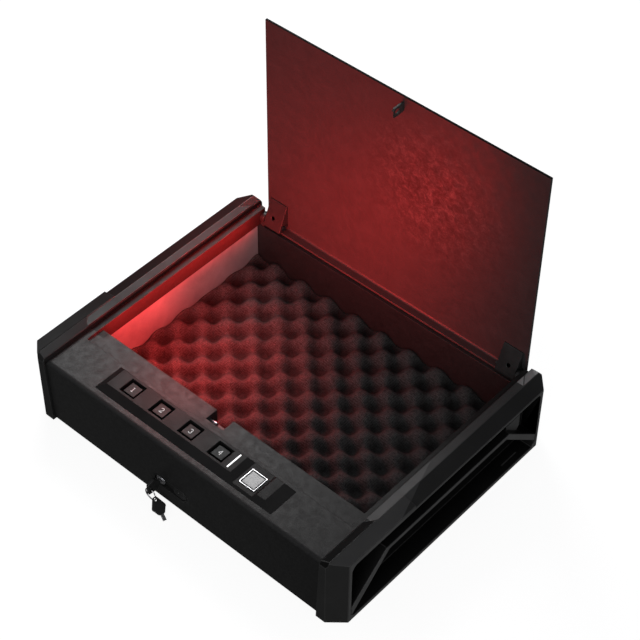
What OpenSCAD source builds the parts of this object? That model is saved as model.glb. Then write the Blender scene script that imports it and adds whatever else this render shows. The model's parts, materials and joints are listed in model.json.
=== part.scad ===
// Two-pistol bedside safe with a keypad, a fingerprint sensor and a key override.
// The lid is drawn standing open. X runs along the front, Y towards the hinge, Z up.

/* [Overall] */
// Width over the two end caps
overall_w = 370; // [366:1:374]
// Distance that moves the whole model along Y
y_shift = 2.1; // [-10:0.1:10]
// Height of the deck above the standing plane
deck_z = 73.5; // [73:0.5:74]

/* [Body] */
// Thickness of the folded steel sheet
sheet_t = 1.5; // [1.4:0.1:1.6]
// Radius of the bend between the front wall and the deck
bend_r = 4.5; // [4:0.5:5]
// Depth of the ledge that the closed lid drops into
ledge_drop = 2.6; // [2.5:0.1:2.7]
// Half width of the lid opening
open_x = 156.3; // [156.2:0.1:156.5]

/* [Lid] */
// Thickness of the lid plate
lid_t = 2.3; // [2.2:0.1:2.4]
// Height of the free edge of the open lid
lid_top = 295; // [293:0.5:295]
// Height of the hinge pin
hinge_z = 64.5; // [64.5:0.1:64.6]

/* [End caps] */
// Width of the corner chamfers seen from above
cap_chamfer = 13; // [12:0.5:13]
// Width of the bridge rib and of the rim around the recess
rib_w = 4.2; // [3.8:0.1:4.6]

/* [Keypad] */
// Height of the keypad bar above the deck
bar_h = 5; // [5:0.1:5.4]
// Distance between the centres of neighbouring keys
key_pitch = 35.1; // [34.8:0.1:35.2]
// Size of one key's well along X
key_w = 16.6; // [16:0.1:16.8]
// Gap round the face of a key in its well
key_gap = 2; // [0.3:0.1:2.4]

/* [Lock] */
// Position of the lock along X
lock_x = -24; // [-24.2:0.1:-23.8]
// Height of the lock axis
lock_z = 23.1; // [22.8:0.1:23.4]

/* [Foam] */
// Height of the foam top above the standing plane
foam_h = 21; // [16:1:22]

/* [Hidden] */
$fn = 48;
W2 = overall_w / 2;
yF = -134;            // outside of the front wall
yR = 144;             // outside of the rear wall
xB = 165;             // outside of the side walls
zB = 2;               // underside of the floor
zd = deck_z;
zl = deck_z - ledge_drop;   // top of the ledge
yL = -90;             // front edge of the ledge
yE = -71;             // rear edge of the deck
yRim = 136;           // inner rear wall
zRim = 56.5;          // top of the rear ledge
hy = 141;             // hinge pin along Y
pin_r = 1.6;          // hinge pin radius
hz = hinge_z;
ly = 147.7;           // inner face of the open lid
cy0 = -137; cy1 = 147;      // ends of the caps
nx0 = -13.6; nx1 = 6.2; ny0 = -84.5; // notch in the deck
bolt_y = -78.9; bolt_z = 63;
kx0 = -79.6;          // first key along X
ky = -107.4;          // keys along Y
ztop = zd + bar_h;

// box between two corners
module bx(a, b) { translate(a) cube([b[0] - a[0], b[1] - a[1], b[2] - a[2]]); }
// outline in Y and Z, extruded along X from x0 to x1
module yz(x0, x1, p) { translate([x0, 0, 0]) rotate([90, 0, 90]) linear_extrude(x1 - x0) polygon(p); }
// outline in X and Z, extruded along Y from y0 to y1
module xz(y0, y1, p) { translate([0, y1, 0]) rotate([90, 0, 0]) linear_extrude(y1 - y0) polygon(p); }
// cylinders along X and Y
module cx(x0, x1, y, z, r) { translate([x0, y, z]) rotate([0, 90, 0]) cylinder(h = x1 - x0, r = r); }
module cyl_y(x, y0, y1, z, r) { translate([x, y0, z]) rotate([-90, 0, 0]) cylinder(h = y1 - y0, r = r); }
function arc(c, r, a0, a1, n) = [for (i = [0:n]) let (a = a0 + (a1 - a0) * i / n) [c[0] + r * cos(a), c[1] + r * sin(a)]];
// slot outline with round ends along X
module stadium(y0, y1, x0, x1, zc, r) {
  bx([x0 + r, y0, zc - r], [x1 - r, y1, zc + r]);
  cyl_y(x0 + r, y0, y1, zc, r);
  cyl_y(x1 - r, y0, y1, zc, r);
}
anchors = [[-110, -30], [110, -30], [-110, 100], [110, 100]];
cap_screw_pos = [[-52, 64.6], [66, 64.6], [-48, 24], [62, 24]];

// ---------- structure ----------
module body_shell() color("#2b2b2c") difference() {
  union() {
    // front wall and bend
    bx([-xB, yF, zB], [xB, yF + sheet_t, zd - bend_r]);
    yz(-xB, xB, concat(arc([yF + bend_r, zd - bend_r], bend_r, 180, 90, 10), arc([yF + bend_r, zd - bend_r], bend_r - sheet_t, 90, 180, 10)));
    // deck in front of the ledge
    bx([-xB, yF + bend_r, zd - sheet_t], [xB, yL, zd]);
    // step down to the ledge
    bx([-open_x, yL - sheet_t, zl - sheet_t], [open_x, yL, zd]);
    bx([-open_x - 0.5, yL - sheet_t, zl - sheet_t], [open_x + 0.5, yE, zl]);
    for (s = [-1, 1]) scale([1, 1, 1]) mirror([s < 0 ? 1 : 0, 0, 0]) {
      // side flange, lip and wall
      bx([open_x, yL - sheet_t, zd - sheet_t], [xB, yR, zd]);
      bx([open_x, yL - sheet_t, zl - sheet_t], [open_x + sheet_t, yE, zd]);
      bx([open_x, yE, zRim + 0.1], [open_x + sheet_t, yR, zd]);
      bx([xB - sheet_t, yF, zB], [xB, yR, zd - 0.2]);
    }
    bx([-xB, yF, zB], [-xB + sheet_t, yF + 6, zd - bend_r]);
  }
  // well below the keypad bar
  bx([-98, -119.4, zd - 4], [92.4, -96.4, zd + 1]);
  // notch for the striker
  bx([nx0, ny0, zl - 3], [nx1, yE + 1, zl + 1]);
  // opening for the keyhole dish
  stadium(yF - 1, yF + 3, -31.1, 8.1, lock_z, 6.7);
  // cap screw holes
  for (s = [-1, 1]) for (q = cap_screw_pos) cx(s > 0 ? xB - 2 : -xB - 1, s > 0 ? xB + 1 : -xB + 2, q[0], q[1], 2.1);
}

module base_plate() color("#29292a") difference() {
  union() {
    bx([-163.5, yF + sheet_t, zB], [163.5, yR, zB + sheet_t]);
    bx([-163.5, yR - sheet_t, zB], [163.5, yR, zRim]);
    bx([-163.5, yRim, zRim - sheet_t], [163.5, yR, zRim]);
    bx([-163.5, yRim, zB], [163.5, yRim + sheet_t, zRim]);
  }
  for (q = anchors) translate([q[0], q[1], zB - 1]) cylinder(h = 4, r = 3.5);
  // hatch to the battery tray
  bx([46, -111, zB - 1], [130, -82, zB + 3]);
}

// one end cap, drawn for the right hand end
yb1 = -79; yb2 = -41; yb3 = 122;
module end_cap() difference() {
  union() {
    intersection() {
      linear_extrude(84) polygon([[158, cy0], [W2 - cap_chamfer - 1.8, cy0], [W2, cy0 + cap_chamfer], [W2, cy1 - cap_chamfer], [W2 - cap_chamfer, cy1], [158, cy1]]);
      union() {
        xz(cy0, cy1, [[160, 0], [W2, 0], [W2, 75], [171.5, 77.4], [163.4, 78], [163.1, 74]]);
        // top facets, inner strip in front of and behind the mitre
        intersection() {
          xz(cy0, yb1 + 4, [[162.9, 70], [172, 70], [171.5, 81], [163.5, 78.4]]);
          linear_extrude(90) polygon([[160, cy0 - 1], [171.5, cy0 - 1], [171.5, yb1 + 4], [160, yb1 - 7.5]]);
        }
        intersection() {
          xz(yb1 - 9, cy1, [[162.9, 70], [172, 70], [171.5, 80], [163.5, 79.4]]);
          linear_extrude(90) polygon([[160, yb1 - 7.5], [171.5, yb1 + 4], [171.5, yb3], [160, yb3 + 16]]);
        }
        intersection() {
          xz(yb3 - 2, cy1, [[162.9, 70], [172, 70], [171.5, 80], [163.5, 78.1]]);
          linear_extrude(90) polygon([[160, yb3 + 16], [171.5, yb3], [171.5, cy1 + 1], [160, cy1 + 1]]);
        }
        // outer strip in front of and behind the step
        xz(cy0, yb2, [[171.5, 70], [W2, 70], [W2, 78], [171.5, 80.8]]);
        xz(yb2, cy1, [[171.5, 70], [W2, 70], [W2, 75], [171.5, 80]]);
      }
    }
    // lip below the body
    bx([150, -126, 0], [172, 136, zB]);
  }
  // room for the body
  bx([100, yF - 0.1, zB], [xB + 0.1, yR + 0.1, zd + 0.1]);
  // bevels on the front and rear flanges
  yz(150, 171.8, [[cy0 - 4, 70.9], [cy0, 74.9], [cy0 + 4.6, 83], [cy0 - 4, 90]]);
  yz(150, W2 + 1, [[cy1 + 4, 70.4], [cy1, 74.4], [cy1 - 4.6, 83], [cy1 + 4, 90]]);
  // side recess with the bridge rib left standing
  difference() {
    yz(168, W2 + 1, concat(
      [[-120.6, 8], [-116.5, 4]], [[126.5, 4], [130.5, 8]],
      arc([125.5, 67.6], 5, 0, 90, 6), arc([-113.6, 65.6], 7, 90, 180, 8)));
    yz(167, W2 - 0.3, rib_poly());
    // slats in the front corner of the recess, and a boss in the rear corner
    for (k = [0:2]) yz(167, 169.8, [[-118 + 6 * k, 18 + 7 * k], [-116.8 + 6 * k, 18 + 7 * k], [-103.8 + 8 * k, 71], [-105 + 8 * k, 71]]);
    yz(167, 178, [[92, 51], [92, 56], [112, 57], [112, 42.5], [109, 38.5], [104, 38.5]]);
  }
  for (q = cap_screw_pos) cx(164, 169, q[0], q[1], 2.1);
}
// centre line of the rib runs through these points
function rib_poly() = let (h = rib_w / 2) [
  [-125, 8], [-119, 6], [-72.9, 52 - h + 1.6], [84, 52 - h + 1.6], [130, 10.5], [134, 15.6],
  [88, 56.2 - 0.2], [-76.8, 56.2 - 0.2], [-123.5, 13.5]];
module right_end_cap() color("#1d1d1e") end_cap();
module left_end_cap() color("#1d1d1e") mirror([1, 0, 0]) end_cap();
module end_cap_screws() color("#3c3c3e") for (s = [0, 1]) mirror([s, 0, 0]) for (q = cap_screw_pos) {
  difference() {
    cx(168, 170.4, q[0], q[1], 3.8);
    translate([169.4, q[0] - 0.6, q[1] - 2.4]) cube([2, 1.2, 4.8]);
    translate([169.4, q[0] - 2.4, q[1] - 0.6]) cube([2, 4.8, 1.2]);
  }
  cx(160.9, 168, q[0], q[1], 2);
}
module rubber_feet() color("#151515") for (x = [-132, 132]) for (y = [-122, 122])
  translate([x, y, 0]) cylinder(h = zB, r = 9);
module inner_partition() color("#262627") difference() {
  bx([-159, yE - 1.5, zB + sheet_t], [159, yE, zl - sheet_t]);
  bx([nx0 - 1.6, yE - 3, 50.4], [nx1 + 1.6, yE + 1, zl]);
}
module side_liner_left() color("#b9b4b4") mirror([1, 0, 0]) side_liner_right();
module side_liner_right() color("#b9b4b4") bx([159.2, yE + 0.2, 3.6], [160.7, yRim - 0.2, 71]);
module foam_pad() color("#333436") difference() {
  bx([-158.8, yE + 0.6, zB + sheet_t], [158.8, yRim - 0.4, foam_h]);
  for (q = anchors) translate([q[0], q[1], 3]) cylinder(h = 30, r = 6);
}
module light_strip() color("#f4d9d2") bx([-159.1, -66, 61.5], [-157.9, 60, 66.5]);

// ---------- hinge ----------
module hinge_lugs() color("#232324") for (s = [0, 1]) mirror([s, 0, 0]) difference() {
  union() {
    cx(151.6, 156, hy, hz, 5.4);
    bx([151.6, 136.4, zRim], [156, 145.4, hz]);
  }
  cx(151, 157, hy, hz, pin_r + 0.02);
}
module hinge_pins() color("#9a9a9c") for (s = [0, 1]) mirror([s, 0, 0]) {
  cx(129.9, 156, hy, hz, pin_r);
  cx(128.6, 129.9, hy, hz, 2.7);
}
// torsion springs round the pins: a helix of round wire
function helix(x0, r, pitch, turns, n) = [for (i = [0:turns * n]) [x0 + pitch * i / n, r * cos(360 * i / n), r * sin(360 * i / n)]];
function ring_at(p, a, w, m) = [for (j = [0:m - 1]) [p[0] + w * sin(360 * j / m), p[1] + w * cos(360 * j / m) * cos(a), p[2] + w * cos(360 * j / m) * sin(a)]];
module coil(x0, r, pitch, turns, w) {
  n = 10; m = 5;
  path = helix(x0, r, pitch, turns, n);
  N = len(path);
  pts = [for (i = [0:N - 1]) each ring_at(path[i], 360 * i / n, w, m)];
  sides = [for (i = [0:N - 2]) for (j = [0:m - 1]) [i * m + j, (i + 1) * m + j, (i + 1) * m + (j + 1) % m, i * m + (j + 1) % m]];
  polyhedron(points = pts, faces = concat([[for (j = [m - 1:-1:0]) j]], sides, [[for (j = [0:m - 1]) (N - 1) * m + j]]), convexity = 10);
}
module lid_springs() color("#8b8b8d") for (s = [-1, 1]) translate([s > 0 ? 133.6 : -147.8, hy, hz]) coil(0.4, 2.05, 1.6, 8, 0.35);

// ---------- lid ----------
module lid_panel() color("#57282a") union() {
  bx([-155.9, ly, 63], [155.9, ly + lid_t, lid_top]);
  for (s = [0, 1]) mirror([s, 0, 0]) bx([150.8, ly, 57.2], [155.9, ly + lid_t, 64]);
  // bend and rear lip
  yz(-150.9, 150.9, concat(
    arc([ly + lid_t - 4.5, 57.2 + 4.5], 4.5, 0, -90, 8), [[139, 57.2], [139, 57.2 + lid_t]],
    arc([ly - 2.2, 57.2 + lid_t + 2.2], 2.2, -90, 0, 6), [[ly, 64], [ly + lid_t, 64]]));
}
module lid_striker() color("#4a2a2b") difference() {
  yz(1, 3, [[ly, 279.4], [ly, 289.4], [ly - 12.2, 289.4], [ly - 14.2, 287.6], [ly - 14.2, 281.2], [ly - 12.2, 279.4]]);
  cx(0, 4, hy + bolt_z - hz, hz + hy - bolt_y, 2.9);
}
// folded wedge with two ears round the hinge pin
module hinge_bracket() difference() {
  union() {
    yz(130.3, 132.1, br_poly());
    yz(149.2, 151, br_poly());
    // sloping front face
    yz(130.3, 151, [[ly, 87.5], [ly, 86.8], [136.8, 61.8], [136.8, 59.8], [135.6, 59.8], [135.6, 62.4], [146.4, 87.5]]);
    // foot on the lid
    bx([132, ly - 1.5, 72], [149.3, ly, 85.4]);
  }
  cx(129, 152, hy, hz, pin_r + 0.06);
  // hole through the sloping face
  translate([142, 139.3, 71]) rotate([66.7, 0, 0]) translate([0, 0, -2.2]) cylinder(h = 4.4, r = 2, $fn = 24);
}
function br_poly() = [[ly, 87.5], [ly, 63], [ly - 2.8, 59.8], [135.6, 59.8], [135.6, 62.4], [146.4, 87.5]];
module hinge_bracket_right() color("#241a1b") hinge_bracket();
module hinge_bracket_left() color("#3c191b") mirror([1, 0, 0]) hinge_bracket();
module bracket_screws() color("#444446") for (s = [0, 1]) mirror([s, 0, 0]) translate([140.6, ly - 1.5, 76]) rotate([90, 0, 0])
  difference() { cylinder(h = 1.5, r = 3.0, $fn = 32); translate([-0.5, -2, 0.9]) cube([1, 4, 2]); translate([-2, -0.5, 0.9]) cube([4, 1, 2]); }

// ---------- keypad ----------
module keypad_bezel() color("#3a3838") difference() {
  intersection() {
    xz(-130, -90, [[-109.5, zd], [-101.5, ztop], [47, ztop], [54, zd + 1.6], [76.2, zd + 1.6], [79, ztop - 1.2], [88.2, ztop - 1.2], [100, zd]]);
    yz(-112, 102, [[-125.5, zd], [-118, ztop], [-96.3, ztop], [-93.5, zd]]);
  }
  for (i = [0:3]) bx([kx0 + key_pitch * i - key_w / 2 - 0.3, ky - 8.3, zd - 1], [kx0 + key_pitch * i + key_w / 2 + 0.3, ky + 8.3, ztop + 1]);
  bx([40.4, -115.6, zd + 3.5], [41.7, -98.4, ztop + 1]);
}
module key_cap(i) {
  x = kx0 + key_pitch * i;
  bx([x - key_w / 2 + key_gap, ky - 8 + key_gap, zd - 0.9], [x + key_w / 2 - key_gap, ky + 8 - key_gap, ztop - 1.4]);
  bx([x - key_w / 2 - 0.9, ky - 8.9, zd - 1.5], [x + key_w / 2 + 0.9, ky + 8.9, zd - 0.3]);
  translate([x, ky, zd - 2.2]) cylinder(h = 1.5, r = 1.6, $fn = 24);
}
module key_1() color("#2f2d2d") key_cap(0);
module key_2() color("#2f2d2d") key_cap(1);
module key_3() color("#2f2d2d") key_cap(2);
module key_4() color("#2f2d2d") key_cap(3);
module led_bar() color("#ffffff") bx([40.45, -115.55, zd + 3.5], [41.65, -98.45, ztop + 0.1]);
module sensor_frame() color("#e8e8ea") difference() {
  bx([57.2, -118.6, zd + 1.6], [74.4, -101, zd + 2.5]);
  bx([58.6, -117.2, zd + 1], [73, -102.4, zd + 3]);
}
module sensor_pad() color("#c9c9cb") bx([58.6, -117.2, zd + 1.6], [73, -102.4, zd + 2.1]);
module keypad_board() color("#1f4a2e") bx([-94, -117.5, zd - 6.9], [90, -98.2, zd - 5.3]);
module tact_switches() color("#8d8d90") for (i = [0:3]) {
  x = kx0 + key_pitch * i;
  bx([x - 3, ky - 3, zd - 5.3], [x + 3, ky + 3, zd - 4]);
  translate([x, ky, zd - 4]) cylinder(h = 0.7, r = 1.5, $fn = 24);
}

// ---------- key lock ----------
module keyhole_dish() color("#1b1b1c") difference() {
  stadium(yF - 0.3, yF + 5, -31, 8, lock_z, 6.6);
  stadium(yF - 1, yF + 4, -30.2, 7.2, lock_z, 5.8);
  cyl_y(lock_x, yF + 3, yF + 6, lock_z, 5.25);
}
// slides to the left over the plug once the key is out
module keyhole_cover() color("#202021") union() {
  stadium(yF + 0.5, yF + 1.6, -8.4, 6.9, lock_z, 5.5);
  cyl_y(-2.6, yF - 0.7, yF + 0.6, lock_z, 1.9);
  bx([-4.2, yF + 1.5, lock_z - 5.2], [4, yF + 3.7, lock_z + 5.2]);
}
module lock_barrel() color("#77777a") difference() {
  union() {
    cyl_y(lock_x, yF + 0.9, -108, lock_z, 5.2);
  }
  cyl_y(lock_x, yF - 1, -107, lock_z, 4.03);
}
module lock_nut() color("#88888b") difference() {
  translate([lock_x, yF + 5.1, lock_z]) rotate([-90, 0, 0]) cylinder(h = 3.5, r = 8.6, $fn = 6);
  cyl_y(lock_x, yF + 4, yF + 10, lock_z, 5.22);
}
module lock_plug() color("#cfcfd1") difference() {
  cyl_y(lock_x, yF + 0.2, -106, lock_z, 3.98);
  bx([lock_x - 1.05, yF - 1, lock_z - 3.3], [lock_x + 1.05, -111.5, lock_z + 3.3]);
}
// crank that carries the carriage; it turns with the plug
module lock_cam() color("#a9a9ac") union() {
  cyl_y(lock_x, -106, -104, lock_z, 5);
  bx([lock_x - 3, -106, lock_z], [lock_x + 3, -104, lock_z + 10]);
  cyl_y(lock_x, -106, -104, lock_z + 10, 3);
  cyl_y(lock_x, -104.1, -100.2, lock_z + 10, 1.5);
}
module key_blade() color("#c4c4c6") union() {
  bx([lock_x - 0.95, yF - 3.2, lock_z - 3.1], [lock_x + 0.95, -114.5, lock_z + 3.1]);
  bx([lock_x - 0.95, -114.6, lock_z - 1.6], [lock_x + 0.95, -112.2, lock_z + 1.6]);
}
// bow of the key in the lock, upright
key_hole_y = -145.8; key_hole_z = 21.2;
module key_bow() color("#1a1a1b") difference() {
  yz(lock_x - 1.5, lock_x + 1.5, concat(
    [[-136.2, 20.4]], arc([-140.6, 19.4], 2.8, -60, -110, 4), arc([-145.8, 19.4], 3.2, 215, 165, 4),
    arc([-145.8, 28.2], 3.2, 165, 130, 4), arc([-141.8, 28.4], 3.4, 115, 50, 5), [[-136.2, 26.4]]));
  cx(lock_x - 3, lock_x + 3, key_hole_y, key_hole_z, 1.7);
  bx([lock_x - 1, yF - 3.3, lock_z - 3.15], [lock_x + 1, yF, lock_z + 3.15]);
}
module cyl_z(x, y, z0, h, r) { translate([x, y, z0]) cylinder(h = h, r = r); }
// ring hanging in the bow's hole
ring_r = 6.2; ring_y = key_hole_y; ring_zc = key_hole_z - ring_r;
module key_ring() color("#b0b0b2") translate([lock_x, ring_y, ring_zc]) rotate([90, 0, 0]) rotate_extrude($fn = 40) translate([ring_r, 0]) circle(r = 0.6, $fn = 16);
// spare key on the ring, leaning on its tip
sp_f = 33; sp_a = 15;
module sp_place() translate([lock_x + ring_r * cos(sp_f), ring_y, ring_zc - ring_r * sin(sp_f)]) rotate([0, sp_f, 0]) rotate([0, 0, -sp_a]) children();
module spare_key_blade() color("#c4c4c6") sp_place() bx([13.2, -1.6, -0.7], [20, 1.6, 0.7]);
module spare_key_bow() color("#1a1a1b") sp_place() difference() {
  translate([0, 0, -1.2]) linear_extrude(2.4) polygon(concat(
    arc([0.2, 0], 2.8, 240, 120, 8), arc([7.2, 4.1], 2.6, 105, 35, 6), arc([11.8, 1.4], 2.4, 55, 0, 4), arc([11.8, -1.4], 2.4, 0, -55, 4), arc([7.2, -4.1], 2.6, -35, -105, 6)));
  translate([0, 0, -3]) cylinder(h = 6, r = 1.45);
  bx([13.1, -1.65, -0.75], [18, 1.65, 0.75]);
}

// ---------- latch ----------
module latch_housing() color("#3a3a3c") difference() {
  bx([nx0 - 1.5, ny0 - 1.5, 50.5], [nx1 + 1.5, yE, zl - sheet_t]);
  bx([nx0, ny0, 52], [nx1, yE + 1, zl]);
  cx(nx0 - 3, nx0 + 1, bolt_y, bolt_z, 2.4);
  cx(nx1 - 1, nx1 + 3, bolt_y, bolt_z, 2.4);
}
module latch_bolt() color("#b5b5b8") union() {
  cx(-52, -6.5, bolt_y, bolt_z, 2.2);
}
module bolt_carriage() color("#9fa0a2") difference() {
  union() {
    bx([-30.6, -102.2, 19], [-17.4, -100.7, 60]);
    bx([-30.6, -102.2, 59.9], [-26.4, -100.7, 66.3]);
    bx([-30.6, -100.8, 65.3], [-26.4, -75.4, 66.3]);
    bx([-30.6, -82.4, 59], [-29.2, -75.4, 65.4]);
  }
  cx(-31, -28, bolt_y, bolt_z, 2.2);
  bx([lock_x - 4, -103, lock_z - 2.2], [lock_x + 4, -100, lock_z + 12.2]);
}
module latch_solenoid() color("#5b4a2e") difference() {
  bx([-62, -87, 55.2], [-38, yE - 1.5, 67.4]);
  cx(-63, -37, bolt_y, bolt_z, 2.27);
}

// ---------- electronics ----------
module battery_tray() color("#222224") difference() {
  bx([44, -113.5, 5.4], [154, -79.5, 22]);
  bx([46, -111.9, 5], [152, -81.1, 20.4]);
}
module battery_cells() color("#7d6a3a") for (k = [0, 1]) for (j = [0, 1]) {
  cx(47.4 + 52 * k, 97.9 + 52 * k, -103.9 + 14.8 * j, 13, 7.2);
}
module battery_door() color("#2a2a2b") union() {
  bx([43, -112.8, 0.5], [133.5, -80, 1.7]);
  bx([46.6, -110.4, 1.6], [114.5, -82.6, 3.2]);
}
module control_board() color("#1f4a2e") bx([-140, -76.4, 12], [-68, -74.8, 52]);
module board_parts() color("#2c2c30") union() {
  bx([-130, -79.4, 22], [-114, -76.4, 38]);
  bx([-106, -80.4, 20], [-96, -76.4, 30]);
  bx([-90, -82.4, 40], [-78, -76.4, 48]);
  for (i = [0:3]) translate([-104 + 8 * i, -76.4, 44]) rotate([90, 0, 0]) cylinder(h = 6, r = 2.6, $fn = 24);
}
module ribbon_cable() color("#6d6d70") union() {
  bx([-92, -98.2, zd - 7.7], [-82, -76.9, zd - 7.1]);
  bx([-92, -77.5, 52.2], [-82, -76.9, zd - 7.2]);
}

module at() translate([0, y_shift, 0]) children();
at() body_shell();
at() base_plate();
at() left_end_cap();
at() right_end_cap();
at() end_cap_screws();
at() rubber_feet();
at() inner_partition();
at() side_liner_left();
at() side_liner_right();
at() foam_pad();
at() light_strip();
at() hinge_lugs();
at() hinge_pins();
at() lid_springs();
at() lid_panel();
at() lid_striker();
at() hinge_bracket_left();
at() hinge_bracket_right();
at() bracket_screws();
at() keypad_bezel();
at() key_1();
at() key_2();
at() key_3();
at() key_4();
at() led_bar();
at() sensor_frame();
at() sensor_pad();
at() keypad_board();
at() tact_switches();
at() keyhole_dish();
at() keyhole_cover();
at() lock_barrel();
at() lock_nut();
at() lock_plug();
at() lock_cam();
at() key_blade();
at() key_bow();
at() key_ring();
at() spare_key_blade();
at() spare_key_bow();
at() latch_housing();
at() latch_bolt();
at() bolt_carriage();
at() latch_solenoid();
at() battery_tray();
at() battery_cells();
at() battery_door();
at() control_board();
at() board_parts();
at() ribbon_cable();
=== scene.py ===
import bpy
import bmesh
import json
import math
import random
from mathutils import Vector, Matrix, noise

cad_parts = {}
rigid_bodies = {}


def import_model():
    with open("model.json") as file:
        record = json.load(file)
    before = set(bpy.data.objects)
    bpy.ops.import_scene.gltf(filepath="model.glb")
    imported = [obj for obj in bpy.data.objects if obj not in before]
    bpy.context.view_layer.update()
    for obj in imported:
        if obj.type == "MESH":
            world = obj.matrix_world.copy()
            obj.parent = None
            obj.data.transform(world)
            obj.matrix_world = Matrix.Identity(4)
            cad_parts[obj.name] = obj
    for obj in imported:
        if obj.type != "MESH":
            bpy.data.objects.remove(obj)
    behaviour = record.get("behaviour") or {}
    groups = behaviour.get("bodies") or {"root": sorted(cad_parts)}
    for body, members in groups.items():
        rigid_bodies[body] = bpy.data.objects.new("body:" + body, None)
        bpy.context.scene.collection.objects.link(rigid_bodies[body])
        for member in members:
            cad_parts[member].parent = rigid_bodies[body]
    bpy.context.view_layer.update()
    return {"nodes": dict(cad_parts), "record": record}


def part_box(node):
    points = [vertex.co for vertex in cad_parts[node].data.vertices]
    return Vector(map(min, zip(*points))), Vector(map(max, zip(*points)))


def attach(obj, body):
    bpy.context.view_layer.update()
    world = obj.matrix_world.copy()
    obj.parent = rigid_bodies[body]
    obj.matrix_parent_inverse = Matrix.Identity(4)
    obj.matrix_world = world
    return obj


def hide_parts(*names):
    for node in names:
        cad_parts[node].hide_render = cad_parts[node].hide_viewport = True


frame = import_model()
NODES = frame["nodes"]
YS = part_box("lid_panel")[1].y - 0.150      # how far the model is moved along Y
random.seed(7)
MM = 0.001


# ------------------------------------------------------------------ materials
def new_mat(name):
    m = bpy.data.materials.new(name)
    m.use_nodes = True
    nt = m.node_tree
    bsdf = nt.nodes["Principled BSDF"]
    return m, nt, bsdf


def link(nt, a, b):
    nt.links.new(a, b)


def coords(nt, scale=(1, 1, 1)):
    tc = nt.nodes.new("ShaderNodeTexCoord")
    mp = nt.nodes.new("ShaderNodeMapping")
    mp.inputs["Scale"].default_value = scale
    link(nt, tc.outputs["Object"], mp.inputs["Vector"])
    return mp.outputs["Vector"]


def noise_tex(nt, vec, scale, detail=4.0, rough=0.6, dist=0.0):
    n = nt.nodes.new("ShaderNodeTexNoise")
    n.inputs["Scale"].default_value = scale
    n.inputs["Detail"].default_value = detail
    n.inputs["Roughness"].default_value = rough
    n.inputs["Distortion"].default_value = dist
    link(nt, vec, n.inputs["Vector"])
    return n.outputs["Fac"]


def ramp(nt, fac, stops):
    r = nt.nodes.new("ShaderNodeValToRGB")
    e = r.color_ramp.elements
    while len(e) < len(stops):
        e.new(0.5)
    for el, (p, c) in zip(e, stops):
        el.position = p
        el.color = (c[0], c[1], c[2], 1.0) if hasattr(c, "__len__") else (c, c, c, 1.0)
    link(nt, fac, r.inputs["Fac"])
    return r.outputs["Color"]


def math_node(nt, op, a, b):
    m = nt.nodes.new("ShaderNodeMath")
    m.operation = op
    for i, v in enumerate((a, b)):
        if isinstance(v, (int, float)):
            m.inputs[i].default_value = v
        else:
            link(nt, v, m.inputs[i])
    return m.outputs[0]


def bump(nt, bsdf, height, strength, distance, prev=None):
    b = nt.nodes.new("ShaderNodeBump")
    b.inputs["Strength"].default_value = strength
    b.inputs["Distance"].default_value = distance
    link(nt, height, b.inputs["Height"])
    if prev is not None:
        link(nt, prev, b.inputs["Normal"])
    link(nt, b.outputs["Normal"], bsdf.inputs["Normal"])
    return b.outputs["Normal"]


def g(v, r=1.0, b=1.0):
    return (v * r, v, v * b)


def painted(name, dark, light, rough=(0.38, 0.52), metal=0.0, grain=1400.0, grain_s=0.12,
            cloud=22.0, spec=0.5, stretch=(1, 1, 1), cloud_dist=0.4, cloud_stops=(0.35, 0.7), fleck=0.0):
    """Powder coat or moulded plastic: slow cloudy tone, fine grain."""
    m, nt, b = new_mat(name)
    v = coords(nt, stretch)
    c = noise_tex(nt, v, cloud, 6.0, 0.62, cloud_dist)
    link(nt, ramp(nt, c, [(cloud_stops[0], dark), (cloud_stops[1], light)]), b.inputs["Base Color"])
    if fleck:
        src = b.inputs["Base Color"].links[0].from_socket
        fl = nt.nodes.new("ShaderNodeMix")
        fl.data_type = "RGBA"
        fl.blend_type = "MULTIPLY"
        fl.inputs["Factor"].default_value = 1.0
        link(nt, src, fl.inputs["A"])
        link(nt, ramp(nt, noise_tex(nt, v, 520.0, 5.0, 0.75), [(0.32, g(1.0 - fleck)), (0.68, g(1.0))]), fl.inputs["B"])
        link(nt, fl.outputs["Result"], b.inputs["Base Color"])
    rr = ramp(nt, noise_tex(nt, v, cloud * 2.3, 5.0, 0.6, 0.0), [(0.3, rough[0]), (0.75, rough[1])])
    link(nt, rr, b.inputs["Roughness"])
    b.inputs["Metallic"].default_value = metal
    b.inputs["Specular IOR Level"].default_value = spec
    bump(nt, b, noise_tex(nt, v, grain, 2.0, 0.5), grain_s, 0.00006)
    return m


M = {}
def times(nt, a, b):
    mx = nt.nodes.new("ShaderNodeMix")
    mx.data_type = "RGBA"
    mx.blend_type = "MULTIPLY"
    mx.inputs["Factor"].default_value = 1.0
    link(nt, a, mx.inputs["A"])
    link(nt, b, mx.inputs["B"])
    return mx.outputs["Result"]


M["body_steel"] = painted("body_steel", g(0.018), g(0.026), (0.42, 0.58), grain=560, grain_s=0.8, cloud=75, cloud_dist=0.8, cloud_stops=(0.2, 0.85), fleck=0.62)


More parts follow.
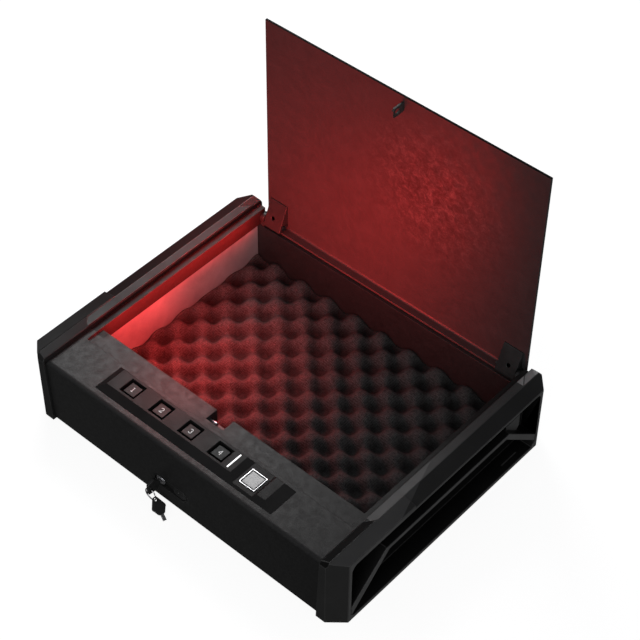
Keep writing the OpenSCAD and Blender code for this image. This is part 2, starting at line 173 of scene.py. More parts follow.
def body_mat():
    """The cover's powder coat, with painted shade: darker towards the right, where the light falls off, and on the left
    lip, in the shade of the cap.
    """
    m = painted("body_steel_cover", g(0.018), g(0.026), (0.42, 0.58), grain=560, grain_s=0.8, cloud=75, cloud_dist=0.8, cloud_stops=(0.2, 0.85), fleck=0.62)
    nt = m.node_tree
    b = nt.nodes["Principled BSDF"]
    src = b.inputs["Base Color"].links[0].from_socket
    sx = nt.nodes.new("ShaderNodeSeparateXYZ")
    link(nt, coords(nt), sx.inputs[0])
    x, y = sx.outputs[0], sx.outputs[1]
    # painted shade: colour and gloss are darkened towards the right, where the light falls off
    tone = ramp(nt, math_node(nt, "MULTIPLY", math_node(nt, "ADD", x, 0.185), 2.7), [(0.10, 1.0), (0.40, 0.86), (0.62, 0.86), (0.95, 0.66)])
    # painted shade on the left lip, in the shade of the cap
    lip = math_node(nt, "MULTIPLY", math_node(nt, "LESS_THAN", x, -0.148), math_node(nt, "GREATER_THAN", y, -0.0785 + YS))
    tone = math_node(nt, "MULTIPLY", tone, math_node(nt, "SUBTRACT", 1.0, math_node(nt, "MULTIPLY", lip, 0.42)))
    link(nt, times(nt, src, tone), b.inputs["Base Color"])
    link(nt, math_node(nt, "MULTIPLY", tone, 0.5), b.inputs["Specular IOR Level"])
    return m



def lid_mat():
    m = painted("lid_steel", g(0.026), g(0.032), (0.46, 0.58), grain=900, grain_s=0.25, cloud=60, cloud_dist=1.2, cloud_stops=(0.38, 0.68))
    nt = m.node_tree
    b = nt.nodes["Principled BSDF"]
    src = b.inputs["Base Color"].links[0].from_socket
    v = coords(nt)
    # a dusty patch right of the middle, where the powder coat is uneven
    off = nt.nodes.new("ShaderNodeVectorMath")
    off.operation = "SUBTRACT"
    off.inputs[1].default_value = (0.040, 0.148 + YS, 0.205)
    link(nt, v, off.inputs[0])
    ln = nt.nodes.new("ShaderNodeVectorMath")
    ln.operation = "LENGTH"
    link(nt, off.outputs[0], ln.inputs[0])
    patch = ramp(nt, math_node(nt, "MULTIPLY", math_node(nt, "ADD", ln.outputs["Value"], math_node(nt, "MULTIPLY", noise_tex(nt, v, 30.0, 3.0, 0.6), 0.03)), 9.0),
                 [(0.30, 1.0), (0.95, 0.0)])
    sy = nt.nodes.new("ShaderNodeSeparateXYZ")
    link(nt, v, sy.inputs[0])
    patch = math_node(nt, "MULTIPLY", patch, math_node(nt, "LESS_THAN", sy.outputs[1], 0.1492 + YS))
    spots = ramp(nt, noise_tex(nt, v, 120.0, 8.0, 0.78, 0.6), [(0.40, 0.62), (0.52, 1.0), (0.66, 1.9)])
    fine = ramp(nt, noise_tex(nt, v, 420.0, 4.0, 0.7, 0.2), [(0.35, 0.8), (0.7, 1.25)])
    worn = nt.nodes.new("ShaderNodeMix")
    worn.data_type = "RGBA"
    worn.blend_type = "MULTIPLY"
    link(nt, patch, worn.inputs["Factor"])
    link(nt, src, worn.inputs["A"])
    link(nt, math_node(nt, "MULTIPLY", math_node(nt, "MULTIPLY", spots, fine), 1.0), worn.inputs["B"])
    src = worn.outputs["Result"]
    sx = nt.nodes.new("ShaderNodeSeparateXYZ")
    link(nt, coords(nt), sx.inputs[0])
    # painted shade: the lid's top edge face is darkened to 12% in colour and gloss
    top = ramp(nt, math_node(nt, "MULTIPLY", math_node(nt, "SUBTRACT", sx.outputs[2], 0.2900), 200.0), [(0.90, 1.0), (0.93, 0.12)])
    mixn = nt.nodes.new("ShaderNodeMix")
    mixn.data_type = "RGBA"
    mixn.blend_type = "MULTIPLY"
    mixn.inputs["Factor"].default_value = 1.0
    link(nt, src, mixn.inputs["A"])
    link(nt, top, mixn.inputs["B"])
    link(nt, mixn.outputs["Result"], b.inputs["Base Color"])
    gloss = nt.nodes.new("ShaderNodeMix")
    gloss.data_type = "FLOAT"
    link(nt, patch, gloss.inputs[0])
    gloss.inputs[2].default_value = 0.5
    link(nt, math_node(nt, "MULTIPLY", math_node(nt, "MULTIPLY", spots, fine), 0.5), gloss.inputs[3])
    link(nt, math_node(nt, "MULTIPLY", top, gloss.outputs[0]), b.inputs["Specular IOR Level"])
    return m


M["lid_steel"] = lid_mat()
M["cap_plastic"] = painted("cap_plastic", g(0.014), g(0.022), (0.36, 0.48), grain=1700, grain_s=0.15, cloud=18)
def cap_mat():
    """Moulded plastic with painted light and shade: darker inside the side recess where little light reaches, painted
    highlights on the outer faces, and a painted shadow of the lid on the right cap's top.
    """
    m, nt, b = new_mat("cap_plastic_caps")
    v = coords(nt)
    sx = nt.nodes.new("ShaderNodeSeparateXYZ")
    link(nt, v, sx.inputs[0])
    ax = math_node(nt, "ABSOLUTE", sx.outputs[0], 0.0)
    y, z = sx.outputs[1], sx.outputs[2]
    inside = None
    for op, s, lim in (("LESS_THAN", ax, 0.1845), ("GREATER_THAN", ax, 0.1664), ("LESS_THAN", z, 0.0729), ("GREATER_THAN", z, 0.0037),
                       ("LESS_THAN", y, 0.1309 + YS), ("GREATER_THAN", y, -0.1209 + YS)):
        t = math_node(nt, op, s, lim)
        inside = t if inside is None else math_node(nt, "MULTIPLY", inside, t)
    # painted shade: 1 outside the recess, fading to black towards its floor; the side face and the rib are brightest
    deep = ramp(nt, math_node(nt, "MULTIPLY", math_node(nt, "SUBTRACT", ax, 0.1665), 55.0), [(0.0, 0.22), (0.2, 0.22), (0.98, 0.42)])
    # painted highlight: the boss in the rear corner, the side face and the rib are lightened where light would catch
    # them
    boss = None
    for op, s, lim in (("LESS_THAN", ax, 0.1786), ("GREATER_THAN", ax, 0.1774), ("LESS_THAN", z, 0.0575), ("LESS_THAN", y, 0.1124 + YS), ("GREATER_THAN", y, 0.0915 + YS)):
        t = math_node(nt, op, s, lim)
        boss = t if boss is None else math_node(nt, "MULTIPLY", boss, t)
    face = math_node(nt, "ADD", math_node(nt, "MULTIPLY", math_node(nt, "GREATER_THAN", ax, 0.1845), 2.4), math_node(nt, "MULTIPLY", boss, 2.2))
    # painted shadow of the lid: the right cap's top is darker towards the rear, with a sharp step at the shadow's edge,
    # and painted shade in front of its mitre
    lit = math_node(nt, "SUBTRACT", 1.0, inside)
    line = math_node(nt, "SUBTRACT", math_node(nt, "MULTIPLY", ax, -3.00), y)
    front = ramp(nt, math_node(nt, "ADD", math_node(nt, "MULTIPLY", math_node(nt, "ADD", line, 0.4954 + YS), 500.0), 0.5), [(0.2, 0.0), (0.8, 1.0)])
    inner = math_node(nt, "LESS_THAN", ax, 0.1713)
    nose = math_node(nt, "LESS_THAN", y, -0.0790 + YS)
    f_in = math_node(nt, "SUBTRACT", math_node(nt, "ADD", 1.7, math_node(nt, "MULTIPLY", front, 0.8)), math_node(nt, "MULTIPLY", nose, 1.7))
    f_out = math_node(nt, "ADD", 0.5, math_node(nt, "MULTIPLY", front, 0.5))
    fade = math_node(nt, "ADD", math_node(nt, "MULTIPLY", inner, f_in), math_node(nt, "MULTIPLY", math_node(nt, "SUBTRACT", 1.0, inner), f_out))
    right = math_node(nt, "MULTIPLY", math_node(nt, "GREATER_THAN", sx.outputs[0], 0.0), math_node(nt, "GREATER_THAN", z, 0.0745))
    fade = math_node(nt, "SUBTRACT", 1.0, math_node(nt, "MULTIPLY", right, math_node(nt, "SUBTRACT", 1.0, fade)))
    # painted shade on the right cap's inner front facet, in front of the mitre
    mitre = math_node(nt, "LESS_THAN", math_node(nt, "SUBTRACT", y, ax), -0.2465 + YS)
    mitre = math_node(nt, "MULTIPLY", math_node(nt, "MULTIPLY", mitre, right), math_node(nt, "LESS_THAN", ax, 0.1713))
    lit = math_node(nt, "MULTIPLY", math_node(nt, "MULTIPLY", lit, fade), math_node(nt, "SUBTRACT", 1.0, math_node(nt, "MULTIPLY", mitre, 0.72)))
    # painted light: the right cap's inner strip at the rear end, past the lid's shadow, is lightened fivefold
    rear = math_node(nt, "MULTIPLY", math_node(nt, "GREATER_THAN", y, 0.1222 + YS), math_node(nt, "LESS_THAN", ax, 0.1713))
    lit = math_node(nt, "MULTIPLY", lit, math_node(nt, "ADD", 1.0, math_node(nt, "MULTIPLY", math_node(nt, "MULTIPLY", rear, right), 4.0)))
    # painted shade: the left cap's top is darkened towards the rear
    left = math_node(nt, "MULTIPLY", math_node(nt, "LESS_THAN", sx.outputs[0], 0.0), math_node(nt, "GREATER_THAN", z, 0.0700))
    lit = math_node(nt, "MULTIPLY", lit, math_node(nt, "SUBTRACT", 1.0, math_node(nt, "MULTIPLY", left, ramp(nt, math_node(nt, "MULTIPLY", math_node(nt, "ADD", y, 0.125 - YS), 4.0), [(0.05, 0.15), (0.30, 0.58)]))))
    zone = math_node(nt, "ADD", math_node(nt, "ADD", lit, math_node(nt, "MULTIPLY", inside, deep)), face)
    tone = ramp(nt, noise_tex(nt, v, 40.0, 5.0, 0.6), [(0.35, g(0.015)), (0.7, g(0.020))])
    mixn = nt.nodes.new("ShaderNodeMix")
    mixn.data_type = "RGBA"
    mixn.blend_type = "MULTIPLY"
    mixn.inputs["Factor"].default_value = 1.0
    link(nt, tone, mixn.inputs["A"])
    link(nt, zone, mixn.inputs["B"])
    link(nt, mixn.outputs["Result"], b.inputs["Base Color"])
    link(nt, math_node(nt, "MULTIPLY", zone, 0.5), b.inputs["Specular IOR Level"])
    dull = math_node(nt, "MULTIPLY", math_node(nt, "MULTIPLY", inner, right), 0.30)
    link(nt, math_node(nt, "ADD", ramp(nt, noise_tex(nt, v, 90.0, 5.0, 0.6), [(0.3, 0.36), (0.75, 0.46)]), dull), b.inputs["Roughness"])
    bump(nt, b, noise_tex(nt, v, 900.0, 2.0, 0.5), 0.22, 0.00006)
    return m


# painted highlight: the caps' bevels take this lighter material so their edges read as catching light
M["cap_edge"] = painted("cap_edge", g(0.025), g(0.032), (0.40, 0.46), cloud=60, grain=1700, grain_s=0.05)
M["black_metal"] = painted("black_metal", g(0.012), g(0.022), (0.35, 0.5), grain=1500, grain_s=0.1, cloud=60)
M["bezel_plastic"] = painted("bezel_plastic", g(0.010), g(0.014), (0.40, 0.50), grain=1800, grain_s=0.12, cloud=40, spec=0.19)
M["key_plastic"] = painted("key_plastic", g(0.011), g(0.016), (0.36, 0.46), grain=1600, grain_s=0.1, cloud=60, spec=0.21)
M["black_rubber"] = painted("black_rubber", g(0.018), g(0.028), (0.7, 0.85), grain=900, grain_s=0.3, cloud=60)
M["liner"] = painted("liner", g(0.30, 1.02, 1.01), g(0.42, 1.02, 1.01), (0.75, 0.9), grain=900, grain_s=0.3, cloud=26)
M["board_green"] = painted("board_green", (0.010, 0.075, 0.03), (0.014, 0.11, 0.045), (0.25, 0.4), grain=700, grain_s=0.05, cloud=200)
M["chip_black"] = painted("chip_black", g(0.018), g(0.028), (0.4, 0.55), cloud=90)
M["coil_brown"] = painted("coil_brown", (0.10, 0.045, 0.018), (0.16, 0.08, 0.03), (0.35, 0.5), cloud=90, grain=1500, grain_s=0.3)
M["cable_grey"] = painted("cable_grey", g(0.22), g(0.30), (0.5, 0.6), cloud=90)


def metal_mat(name, base, rough, aniso=0.0, scratch=2600.0):
    m, nt, b = new_mat(name)
    v = coords(nt)
    b.inputs["Base Color"].default_value = (*base, 1)
    b.inputs["Metallic"].default_value = 1.0
    link(nt, ramp(nt, noise_tex(nt, v, 420.0, 5.0, 0.6), [(0.3, rough[0]), (0.75, rough[1])]), b.inputs["Roughness"])
    bump(nt, b, noise_tex(nt, coords(nt, (1, 6, 1)), scratch, 2.0, 0.5), 0.06, 0.00004)
    return m


M["steel"] = metal_mat("steel", (0.50, 0.50, 0.52), (0.22, 0.38))
M["zinc"] = metal_mat("zinc", (0.74, 0.74, 0.76), (0.14, 0.28))
M["sensor_chrome"] = metal_mat("sensor_chrome", (0.93, 0.93, 0.95), (0.30, 0.38))


def foam_mat():
    m, nt, b = new_mat("foam")
    v = coords(nt)
    c = noise_tex(nt, v, 420.0, 6.0, 0.7)
    pores = nt.nodes.new("ShaderNodeTexVoronoi")
    pores.inputs["Scale"].default_value = 900.0
    link(nt, v, pores.inputs["Vector"])
    mixed = math_node(nt, "MULTIPLY", c, math_node(nt, "ADD", pores.outputs["Distance"], 0.55))
    sx = nt.nodes.new("ShaderNodeSeparateXYZ")
    link(nt, v, sx.inputs[0])
    # painted shade down in the pits: the colour darkens with lower height
    depth = ramp(nt, math_node(nt, "MULTIPLY", sx.outputs[2], 50.0), [(0.48, 0.30), (0.70, 0.72), (0.92, 1.0)])
    b.inputs["Roughness"].default_value = 0.95
    b.inputs["Specular IOR Level"].default_value = 0.25
    nrm = bump(nt, b, mixed, 0.75, 0.0006)
    weave = None
    for axis in ("X", "Y"):
        w = nt.nodes.new("ShaderNodeTexWave")
        w.wave_type = "BANDS"
        w.bands_direction = axis
        w.inputs["Scale"].default_value = 210.0
        w.inputs["Distortion"].default_value = 1.2
        w.inputs["Detail"].default_value = 2.0
        link(nt, v, w.inputs["Vector"])
        weave = w.outputs["Fac"] if weave is None else math_node(nt, "MULTIPLY", weave, w.outputs["Fac"])
    bump(nt, b, weave, 0.5, 0.0004, nrm)
    tone = ramp(nt, mixed, [(0.22, g(0.018)), (0.62, g(0.090))])
    hatch = ramp(nt, weave, [(0.05, 0.72), (0.6, 1.15)])
    for fac in (depth, hatch):
        mx = nt.nodes.new("ShaderNodeMix")
        mx.data_type = "RGBA"
        mx.blend_type = "MULTIPLY"
        mx.inputs["Factor"].default_value = 1.0
        link(nt, tone, mx.inputs["A"])
        link(nt, fac, mx.inputs["B"])
        tone = mx.outputs["Result"]
    link(nt, tone, b.inputs["Base Color"])
    return m


M["foam"] = foam_mat()


def glow(name, colour, strength, base):
    m, nt, b = new_mat(name)
    b.inputs["Base Color"].default_value = (*base, 1)
    b.inputs["Emission Color"].default_value = (*colour, 1)
    b.inputs["Emission Strength"].default_value = strength
    b.inputs["Roughness"].default_value = 0.4
    return m


M["led_white"] = glow("led_white", (1.0, 1.0, 1.0), 0.95, (0.9, 0.9, 0.9))
M["lamp"] = glow("lamp", (1.0, 0.06, 0.05), 12.0, (0.9, 0.3, 0.25))
# painted light: the printed digits glow faintly (emission 0.15) though they are no lamp
M["print_white"] = glow("print_white", (1.0, 1.0, 1.0), 0.15, (0.72, 0.72, 0.72))


def sensor_mat():
    m, nt, b = new_mat("sensor_glass")
    v = coords(nt)
    w = nt.nodes.new("ShaderNodeTexWave")
    w.wave_type = "RINGS"
    w.inputs["Scale"].default_value = 900.0
    w.inputs["Distortion"].default_value = 6.0
    w.inputs["Detail"].default_value = 3.0
    link(nt, v, w.inputs["Vector"])
    n = noise_tex(nt, v, 1500.0, 3.0, 0.6)
    link(nt, ramp(nt, n, [(0.3, g(0.36)), (0.7, g(0.55))]), b.inputs["Base Color"])
    b.inputs["Roughness"].default_value = 0.35
    b.inputs["Coat Weight"].default_value = 0.3
    bump(nt, b, w.outputs["Fac"], 0.08, 0.00005)
    return m


M["sensor_glass"] = sensor_mat()


def cell_mat():
    m, nt, b = new_mat("cell_sleeve")
    v = coords(nt)
    sx = nt.nodes.new("ShaderNodeSeparateXYZ")
    link(nt, v, sx.inputs[0])
    w = nt.nodes.new("ShaderNodeMath")
    w.operation = "PINGPONG"
    w.inputs[1].default_value = 0.0258
    link(nt, sx.outputs[0], w.inputs[0])
    link(nt, ramp(nt, math_node(nt, "MULTIPLY", w.outputs[0], 38.0), [(0.0, (0.55, 0.30, 0.10)), (0.28, (0.55, 0.30, 0.10)), (0.30, g(0.02)), (1.0, g(0.02))]),
         b.inputs["Base Color"])
    b.inputs["Roughness"].default_value = 0.25
    b.inputs["Metallic"].default_value = 0.3
    return m


M["cell_sleeve"] = cell_mat()

CAP = cap_mat()
COVER = body_mat()
for s in frame["record"]["subparts"]:
    o = NODES[s["node"]]
    o.data.materials.clear()
    o.data.materials.append(CAP if s["node"].endswith("_end_cap") else COVER if s["node"] == "body_shell" else M[s["material_slot"]])
    if s["node"].endswith("_end_cap"):
        o.data.materials.append(M["cap_edge"])


# ------------------------------------------------------------------ edge rounding on the CAD pieces
def soften(node, width, segments=2, angle=30.0):
    o = NODES[node]
    w = o.modifiers.new("weld", "WELD")
    w.merge_threshold = 0.000002
    flat = o.modifiers.new("flat", "DECIMATE")       # joins the triangles of one flat face
    flat.decimate_type = "DISSOLVE"
    flat.angle_limit = math.radians(0.4)
    b = o.modifiers.new("bevel", "BEVEL")
    b.width = width
    b.segments = segments
    b.limit_method = "ANGLE"
    b.angle_limit = math.radians(angle)
    b.harden_normals = False
    b.use_clamp_overlap = False
    wn = o.modifiers.new("normals", "WEIGHTED_NORMAL")
    wn.mode = "FACE_AREA"
    wn.weight = 100
    wn.keep_sharp = False
    return o


EDGE = {
    "body_shell": 0.35, "base_plate": 0.35, "left_end_cap": 0.45, "right_end_cap": 0.45, "end_cap_screws": 0.25,
    "inner_partition": 0.3, "side_liner_left": 0.3, "side_liner_right": 0.3, "rubber_feet": 0.4,
    "lid_panel": 0.4, "lid_striker": 0.3, "hinge_bracket_left": 0.4, "hinge_bracket_right": 0.4, "hinge_lugs": 0.4,
    "bracket_screws": 0.2, "keypad_bezel": 0.35, "key_1": 0.45, "key_2": 0.45, "key_3": 0.45, "key_4": 0.45,
    "sensor_frame": 0.2, "keyhole_dish": 0.25, "keyhole_cover": 0.3, "lock_barrel": 0.2, "lock_plug": 0.2,
    "key_bow": 0.5, "key_blade": 0.15, "spare_key_bow": 0.5, "spare_key_blade": 0.15, "latch_housing": 0.25,
    "bolt_carriage": 0.2, "battery_door": 0.3, "battery_tray": 0.3, "latch_solenoid": 0.4, "latch_bolt": 0.4,
    "battery_cells": 0.4, "control_board": 0.1, "board_parts": 0.25, "lock_nut": 0.3, "tact_switches": 0.15, "lock_cam": 0.2,
}
for n, w in EDGE.items():
    soften(n, w * MM, 3 if w >= 0.4 else 2, {"left_end_cap": 9.0, "right_end_cap": 9.0, "keypad_bezel": 15.0}.get(n, 30.0))
# the caps' bevels get cap_edge, the painted-highlight material
for n in ("left_end_cap", "right_end_cap"):
    NODES[n].modifiers["bevel"].material = 1


# ------------------------------------------------------------------ mesh helpers
def mesh_object(name, verts, faces, mat, smooth=True):
    me = bpy.data.meshes.new(name)
    me.from_pydata([tuple(v) for v in verts], [], faces)
    me.validate()
    me.update()
    o = bpy.data.objects.new(name, me)
    bpy.context.scene.collection.objects.link(o)
    o.data.materials.append(mat)
    for p in me.polygons:
        p.use_smooth = smooth
    return o


def add(obj, body):
    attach(obj, body)
    return obj


# ------------------------------------------------------------------ egg-crate foam
lo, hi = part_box("foam_pad")


def foam_height(x, y):
    q = 17.0
    dx = 1.8 * noise.noise(Vector((x * 0.03, y * 0.03, 7.7)))
    dy = 1.8 * noise.noise(Vector((x * 0.03, y * 0.03, 2.9)))
    a = math.cos(math.pi * (x + dx - 4.0) / q) * math.cos(math.pi * (y + dy - YS / MM + 6.0) / q)
    s = 0.5 + 0.5 * a
    crown = 1.0 - (1.0 - s ** 1.45) ** 1.8
    wob = noise.noise(Vector((x * 0.02, y * 0.02, 1.3))) * 0.8
    fine = noise.noise(Vector((x * 0.35, y * 0.35, 4.1))) * 0.25
    return (8.4 + 11.3 * crown + wob + fine) * MM


nx, ny = 230, 150
gx = [lo.x + (hi.x - lo.x) * i / nx for i in range(nx + 1)]
gy = [lo.y + (hi.y - lo.y) * j / ny for j in range(ny + 1)]
verts, faces = [], []
for j in range(ny + 1):
    for i in range(nx + 1):
        e = 0.0
        inset = 0.0
        verts.append((gx[i], gy[j], foam_height(gx[i] / MM, gy[j] / MM)))
row = nx + 1
for j in range(ny):
    for i in range(nx):
        a = j * row + i
        faces.append((a, a + 1, a + row + 1, a + row))
rim = [i for i in range(row)] + [j * row + nx for j in range(1, ny + 1)] + [ny * row + i for i in range(nx - 1, -1, -1)] + [j * row for j in range(ny - 1, 0, -1)]
base0 = len(verts)
for r in rim:
    verts.append((verts[r][0], verts[r][1], lo.z + 0.0001))
n = len(rim)
for k in range(n):
    a, b2 = rim[k], rim[(k + 1) % n]
    faces.append((b2, a, base0 + k, base0 + (k + 1) % n))
faces.append(tuple(base0 + k for k in range(n - 1, -1, -1)))
foam = mesh_object("foam_egg_crate", verts, faces, M["foam"])
add(foam, "safe")
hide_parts("foam_pad")


# ------------------------------------------------------------------ printed digits
def ribbon(name, strokes, width, depth, mat, place):
    """Flat strokes along polylines, with a little thickness."""
    vs, fs = [], []
    for pts in strokes:
        p = [Vector((a, b2)) for a, b2 in pts]
        L, R = [], []
        for i, q in enumerate(p):
            d = (p[min(i + 1, len(p) - 1)] - p[max(i - 1, 0)]).normalized()
            nrm = Vector((-d.y, d.x)) * width / 2
            L.append(q + nrm)
            R.append(q - nrm)
        b0 = len(vs)
        for z in (0.0, depth):
            for a, c in zip(L, R):
                vs.append((a.x, a.y, z))
                vs.append((c.x, c.y, z))
        k = len(p)
        for i in range(k - 1):
            t = b0 + 2 * k + 2 * i
            fs.append((t, t + 1, t + 3, t + 2))
            u = b0 + 2 * i
            fs.append((u, u + 2, u + 3, u + 1))
            fs.append((u, t, t + 2, u + 2))
            fs.append((u + 1, u + 3, t + 3, t + 1))
        for u in (b0, b0 + 2 * (k - 1)):
            fs.append((u, u + 1, u + 1 + 2 * k, u + 2 * k))
    vs = [place @ Vector(v) for v in vs]
    return mesh_object(name, vs, fs, mat, smooth=False)


def arc(cx, cy, rx, ry, a0, a1, k=14):
    return [(cx + rx * math.cos(math.radians(a0 + (a1 - a0) * i / k)), cy + ry * math.sin(math.radians(a0 + (a1 - a0) * i / k))) for i in range(k + 1)]


DIGITS = {
    1: [[(-0.1, -3.0), (-0.1, 3.0)], [(-0.1, 3.0), (-0.7, 2.5), (-1.35, 2.1)], [(-1.35, -3.0), (1.15, -3.0)]],
    2: [arc(0, 1.35, 1.65, 1.65, 170, -35) + [(0.5, -1.1), (-0.7, -2.1), (-1.75, -2.95)], [(-1.8, -3.0), (1.8, -3.0)], [(1.8, -3.1), (1.95, -2.2)]],
    3: [arc(-0.05, 1.45, 1.5, 1.5, 165, -80), arc(-0.05, -1.35, 1.75, 1.65, 80, -165)],
    4: [[(0.75, -3.0), (0.75, 3.0)], [(0.75, 3.0), (-1.9, -1.1)], [(-1.95, -1.15), (1.9, -1.15)], [(0.0, -3.0), (1.5, -3.0)]],
}
for k in range(1, 5):
    a, b2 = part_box("key_%d" % k)
    c = (a + b2) / 2
    place = Matrix.Translation((c.x, c.y + 0.0002, b2.z + 0.00002))
    st = [[(x * 0.80 * MM, y * 0.80 * MM) for x, y in s] for s in DIGITS[k]]
    dg = ribbon("digit_%d" % k, st, 0.60 * MM, 0.00008, M["print_white"], place)
    add(dg, "button_%d" % k)


# ------------------------------------------------------------------ dark ring round the sensor pad, laid over the gap between frame and pad as painted shade of that groove
a, b2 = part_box("sensor_pad")
c = (a + b2) / 2
hw, hh = (b2.x - a.x) / 2 + 0.00025, (b2.y - a.y) / 2 + 0.00025
ring = [[(-hw, -hh), (hw, -hh)], [(hw, -hh), (hw, hh)], [(hw, hh), (-hw, hh)], [(-hw, hh), (-hw, -hh)]]
gap_shade_ring = ribbon("sensor_seal", ring, 0.9 * MM, 0.0001, M["black_rubber"], Matrix.Translation((c.x, c.y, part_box("sensor_frame")[1].z + 0.00002)))
add(gap_shade_ring, "safe")

# ------------------------------------------------------------------ stage, light, camera
YAW, PITCH, ROLL = math.radians(41.21), math.radians(46.19), math.radians(0.67)
F_PX, T = 1828.73, Vector((-32.24, -95.3, 1665.74))
back = Vector((math.sin(YAW) * math.cos(PITCH), -math.cos(YAW) * math.cos(PITCH), math.sin(PITCH)))
fwd = -back
right = fwd.cross(Vector((0, 0, 1))).normalized()
up = right.cross(fwd)
r2 = math.cos(ROLL) * right + math.sin(ROLL) * up
u2 = -math.sin(ROLL) * right + math.cos(ROLL) * up
rot = Matrix((r2, u2, fwd))
pos = -(rot.transposed() @ T) * MM + Vector((0, YS, 0))
cam_data = bpy.data.cameras.new("camera")
cam_data.sensor_width = 36.0
cam_data.lens = 36.0 * F_PX / 640.0
cam_data.clip_start, cam_data.clip_end = 0.05, 30.0
cam = bpy.data.objects.new("camera", cam_data)
bpy.context.scene.collection.objects.link(cam)
wm = Matrix((r2, u2, -fwd)).transposed().to_4x4()
wm.translation = pos
cam.matrix_world = wm
bpy.context.scene.camera = cam


def floor_mat():
    m, nt, b = new_mat("floor")
    b.inputs["Base Color"].default_value = (0.25, 0.25, 0.25, 1)
    b.inputs["Roughness"].default_value = 1.0
    b.inputs["Specular IOR Level"].default_value = 0.0
    b.inputs["Emission Color"].default_value = (1, 1, 1, 1)
    b.inputs["Emission Strength"].default_value = 0.90
    return m


floor = mesh_object("floor", [(-6, -6, -0.0004), (6, -6, -0.0004), (6, 6, -0.0004), (-6, 6, -0.0004)], [(0, 1, 2, 3)], floor_mat(), smooth=False)
floor.visible_diffuse = False
floor.visible_glossy = False


def area(name, loc, target, size, energy, colour=(1, 1, 1), shape="SQUARE", spread=180.0):
    d = bpy.data.lights.new(name, "AREA")
    d.shape = shape
    d.size = size
    d.energy = energy
    d.color = colour
    d.spread = math.radians(spread)
    o = bpy.data.objects.new(name, d)
    bpy.context.scene.collection.objects.link(o)
    o.location = loc
    o.rotation_mode = "QUATERNION"
    o.rotation_quaternion = (Vector(target) - Vector(loc)).to_track_quat("-Z", "Y")
    return o


def point(name, loc, energy, colour, radius):
    d = bpy.data.lights.new(name, "POINT")
    d.energy = energy
    d.color = colour
    d.shadow_soft_size = radius
    o = bpy.data.objects.new(name, d)
    bpy.context.scene.collection.objects.link(o)
    o.location = loc
    return o


key_dir = Vector((-0.585 * math.cos(math.radians(49)), 0.81 * math.cos(math.radians(49)), math.sin(math.radians(49)))).normalized()
area("key", Vector((-0.62, 0.50 + YS, 0.90)), (-0.06, -0.06, 0.06), 0.42, 4.2)
area("fill_front", (0.7, -2.0, 0.9), (0, 0, 0.04), 1.5, 14.0)
area("fill_right", (2.0, -0.2, 0.10), (0.1, 0, 0.04), 0.6, 9.0)

RED = (1.0, 0.03, 0.028)


def glow_area(name, loc, target, sx, sy, energy, spread=160.0):
    o = area(name, loc, target, sx, energy, RED, "RECTANGLE", spread)
    o.data.size_y = sy
    return o


def only(name, lamps, nodes):
    """These lamps stand for light thrown by the strip and off the things in the cavity; each set lights its own pieces."""
    col = bpy.data.collections.new(name)
    for n in nodes:
        col.objects.link(NODES[n] if n in NODES else bpy.data.objects[n])
    for o in lamps:
        o.light_linking.receiver_collection = col


point("lamp_front_left", (-0.118, -0.040 + YS, 0.048), 0.060, RED, 0.012)
point("lamp_middle", (-0.030, -0.060 + YS, 0.060), 0.025, RED, 0.012)
glow_area("lamp_air", (-0.070, -0.010 + YS, 0.170), (-0.105, -0.030 + YS, 0.0), 0.05, 0.05, 0.07, 100.0)
only("lid_side",
     [glow_area("lamp_lid_a", (0.022, -0.080 + YS, 0.095), (-0.150, 0.147 + YS, 0.080), 0.08, 0.08, 0.392),
      glow_area("lamp_lid_b", (-0.031, -0.038 + YS, 0.095), (-0.150, 0.147 + YS, 0.080), 0.08, 0.08, 1.056),
      glow_area("lamp_lid_c", (-0.150, -0.080 + YS, 0.235), (-0.150, 0.147 + YS, 0.080), 0.08, 0.08, 0.348)],
     ["lid_panel", "lid_striker", "hinge_bracket_left"])
side = Matrix(((0.4472, 0, 0.8944), (0, 1, 0), (-0.8944, 0, 0.4472))).to_quaternion()      # faces -X and a little down
strip = glow_area("lamp_strip", (-0.1470, 0.030 + YS, 0.0630), (-0.16, 0, 0.06), 0.003, 0.200, 0.030)
strip.rotation_quaternion = side
only("liner_side", [strip, point("lamp_liner", (-0.126, -0.004 + YS, 0.048), 0.052, RED, 0.010)], ["side_liner_left"])
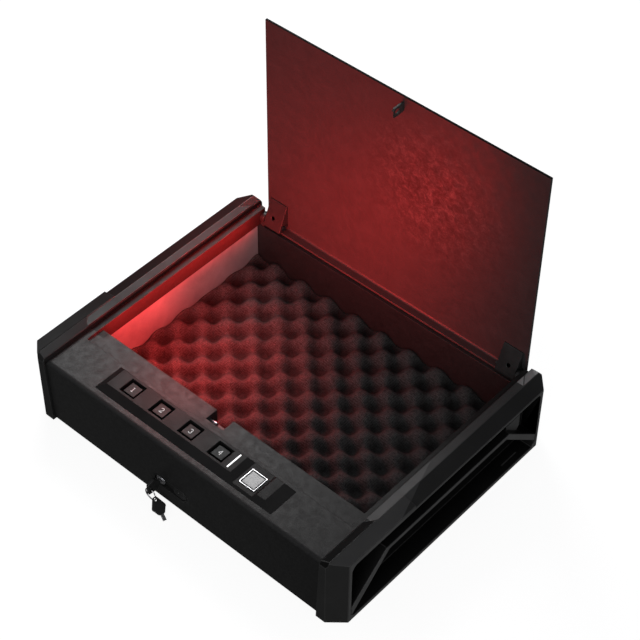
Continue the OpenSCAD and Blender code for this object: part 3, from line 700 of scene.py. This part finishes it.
lip = glow_area("lamp_lip", (-0.1350, 0.030 + YS, 0.0720), (-0.16, 0, 0.07), 0.006, 0.190, 0.44)
lip.rotation_quaternion = side
only("lip_side", [lip], ["body_shell", "hinge_lugs"])
only("cap_side", [glow_area("lamp_cap", (-0.120, 0.150 + YS, 0.280), (-0.167, 0.090 + YS, 0.080), 0.10, 0.08, 0.40, 58.0)], ["left_end_cap", "body_shell"])
only("deck_side", [glow_area("lamp_deck", (-0.115, -0.035 + YS, 0.165), (-0.055, -0.105 + YS, 0.080), 0.05, 0.05, 0.0095, 80.0)], ["body_shell", "keypad_bezel", "key_1", "key_2", "key_3"])
only("foam_side", [glow_area("lamp_foam", (-0.090, -0.010 + YS, 0.105), (-0.090, -0.020 + YS, 0.015), 0.08, 0.12, 0.270)], ["foam_egg_crate"])
only("wall_side", [glow_area("lamp_wall", (-0.030, 0.020 + YS, 0.078), (-0.030, 0.130 + YS, 0.048), 0.24, 0.03, 0.14)], ["base_plate"])
# light that the open lid sends back goes with the lid, so none is left outside when it is shut
for o in list(bpy.context.scene.objects):
    if o.name in ("lamp_air", "lamp_lid_a", "lamp_lid_b", "lamp_lid_c", "lamp_deck", "lamp_cap"):
        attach(o, "lid")
for o in bpy.context.scene.objects:
    if o.type == "LIGHT":
        o.visible_camera = False

world = bpy.data.worlds.new("world")
bpy.context.scene.world = world
world.use_nodes = True
wn = world.node_tree
bg = wn.nodes["Background"]
tc = wn.nodes.new("ShaderNodeTexCoord")
sep = wn.nodes.new("ShaderNodeSeparateXYZ")
wn.links.new(tc.outputs["Generated"], sep.inputs[0])
cr = wn.nodes.new("ShaderNodeValToRGB")
cr.color_ramp.elements[0].position = 0.0
cr.color_ramp.elements[0].color = (0.06, 0.06, 0.06, 1)
cr.color_ramp.elements[1].position = 0.8
cr.color_ramp.elements[1].color = (0.26, 0.26, 0.27, 1)
wn.links.new(sep.outputs["Z"], cr.inputs["Fac"])
wn.links.new(cr.outputs["Color"], bg.inputs["Color"])
bg.inputs["Strength"].default_value = 1.0
bpy.context.scene.view_settings.view_transform = "Standard"
